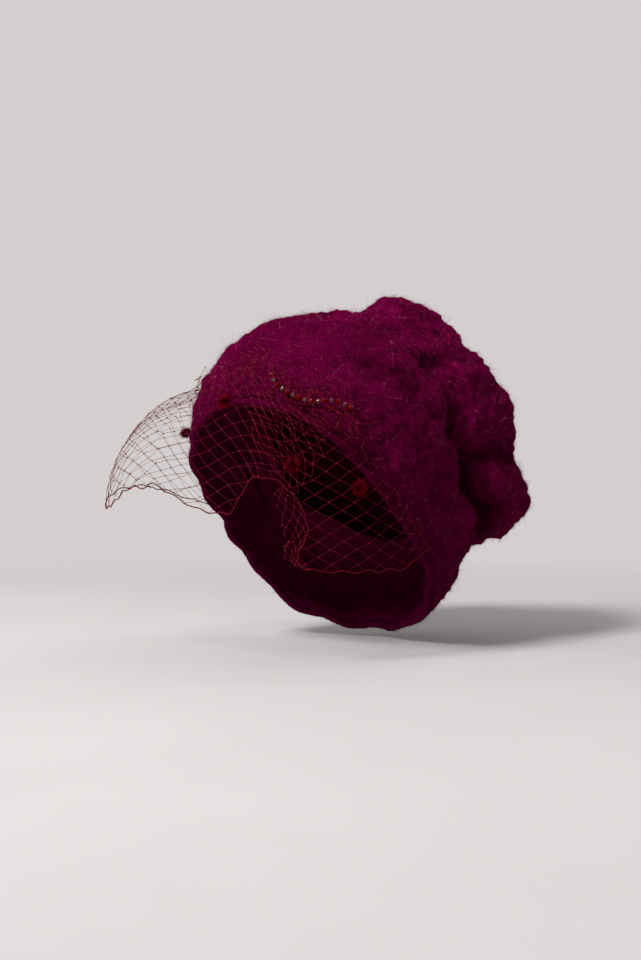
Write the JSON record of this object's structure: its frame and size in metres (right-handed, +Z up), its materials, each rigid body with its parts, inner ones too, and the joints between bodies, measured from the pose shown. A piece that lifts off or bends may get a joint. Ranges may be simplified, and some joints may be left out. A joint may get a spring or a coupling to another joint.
{
  "type": "slouchy knitted beret with birdcage veil",
  "caption": "Slouchy mohair-knit beret with a folded crown, a liftable birdcage veil with chenille dots and a string of small beads over the brow.",
  "frame": {"origin": "middle of the head between the ears, inside the fitted part, where the head holds the hat", "axes": "-Y towards the brow, +X towards the wearer's left, +Z up; -Z is the way the head leaves the hat"},
  "size_m": [0.2398, 0.2617, 0.2333],
  "materials": {
    "knit": "brushed mohair knit",
    "knit_edge": "mohair yarn",
    "netting": "twisted nylon netting",
    "border_cord": "corded selvedge",
    "chenille": "chenille pile",
    "red_bead": "faceted polished",
    "crystal_bead": "faceted polished",
    "thread": "sewing thread"
  },
  "bodies": {
    "cap": {"knit_body": "knit", "hem_edge": "knit_edge", "crown_gather": "knit_edge", "veil_ruffle": "netting", "veil_near_side": "netting", "veil_far_side": "netting", "border_near": "border_cord", "border_far": "border_cord", "dot_far": "chenille", "veil_tacks": "thread", "bead_thread": "thread", "red_beads": "red_bead", "crystal_beads": "crystal_bead", "bead_knots": "thread"},
    "veil": {"veil_near_wing": "netting", "veil_nose_fold": "netting", "veil_far_wing": "netting", "border_front": "border_cord", "dot_near": "chenille", "dot_nose": "chenille", "dot_brow": "chenille"}
  },
  "joints": [
    {"name": "veil_lift", "type": "hinge", "parent": "cap", "child": "veil", "pos_m": [0, -0.104, 0.058], "axis": [-1, 0, 0], "range_deg": [0, 75]}
  ]
}
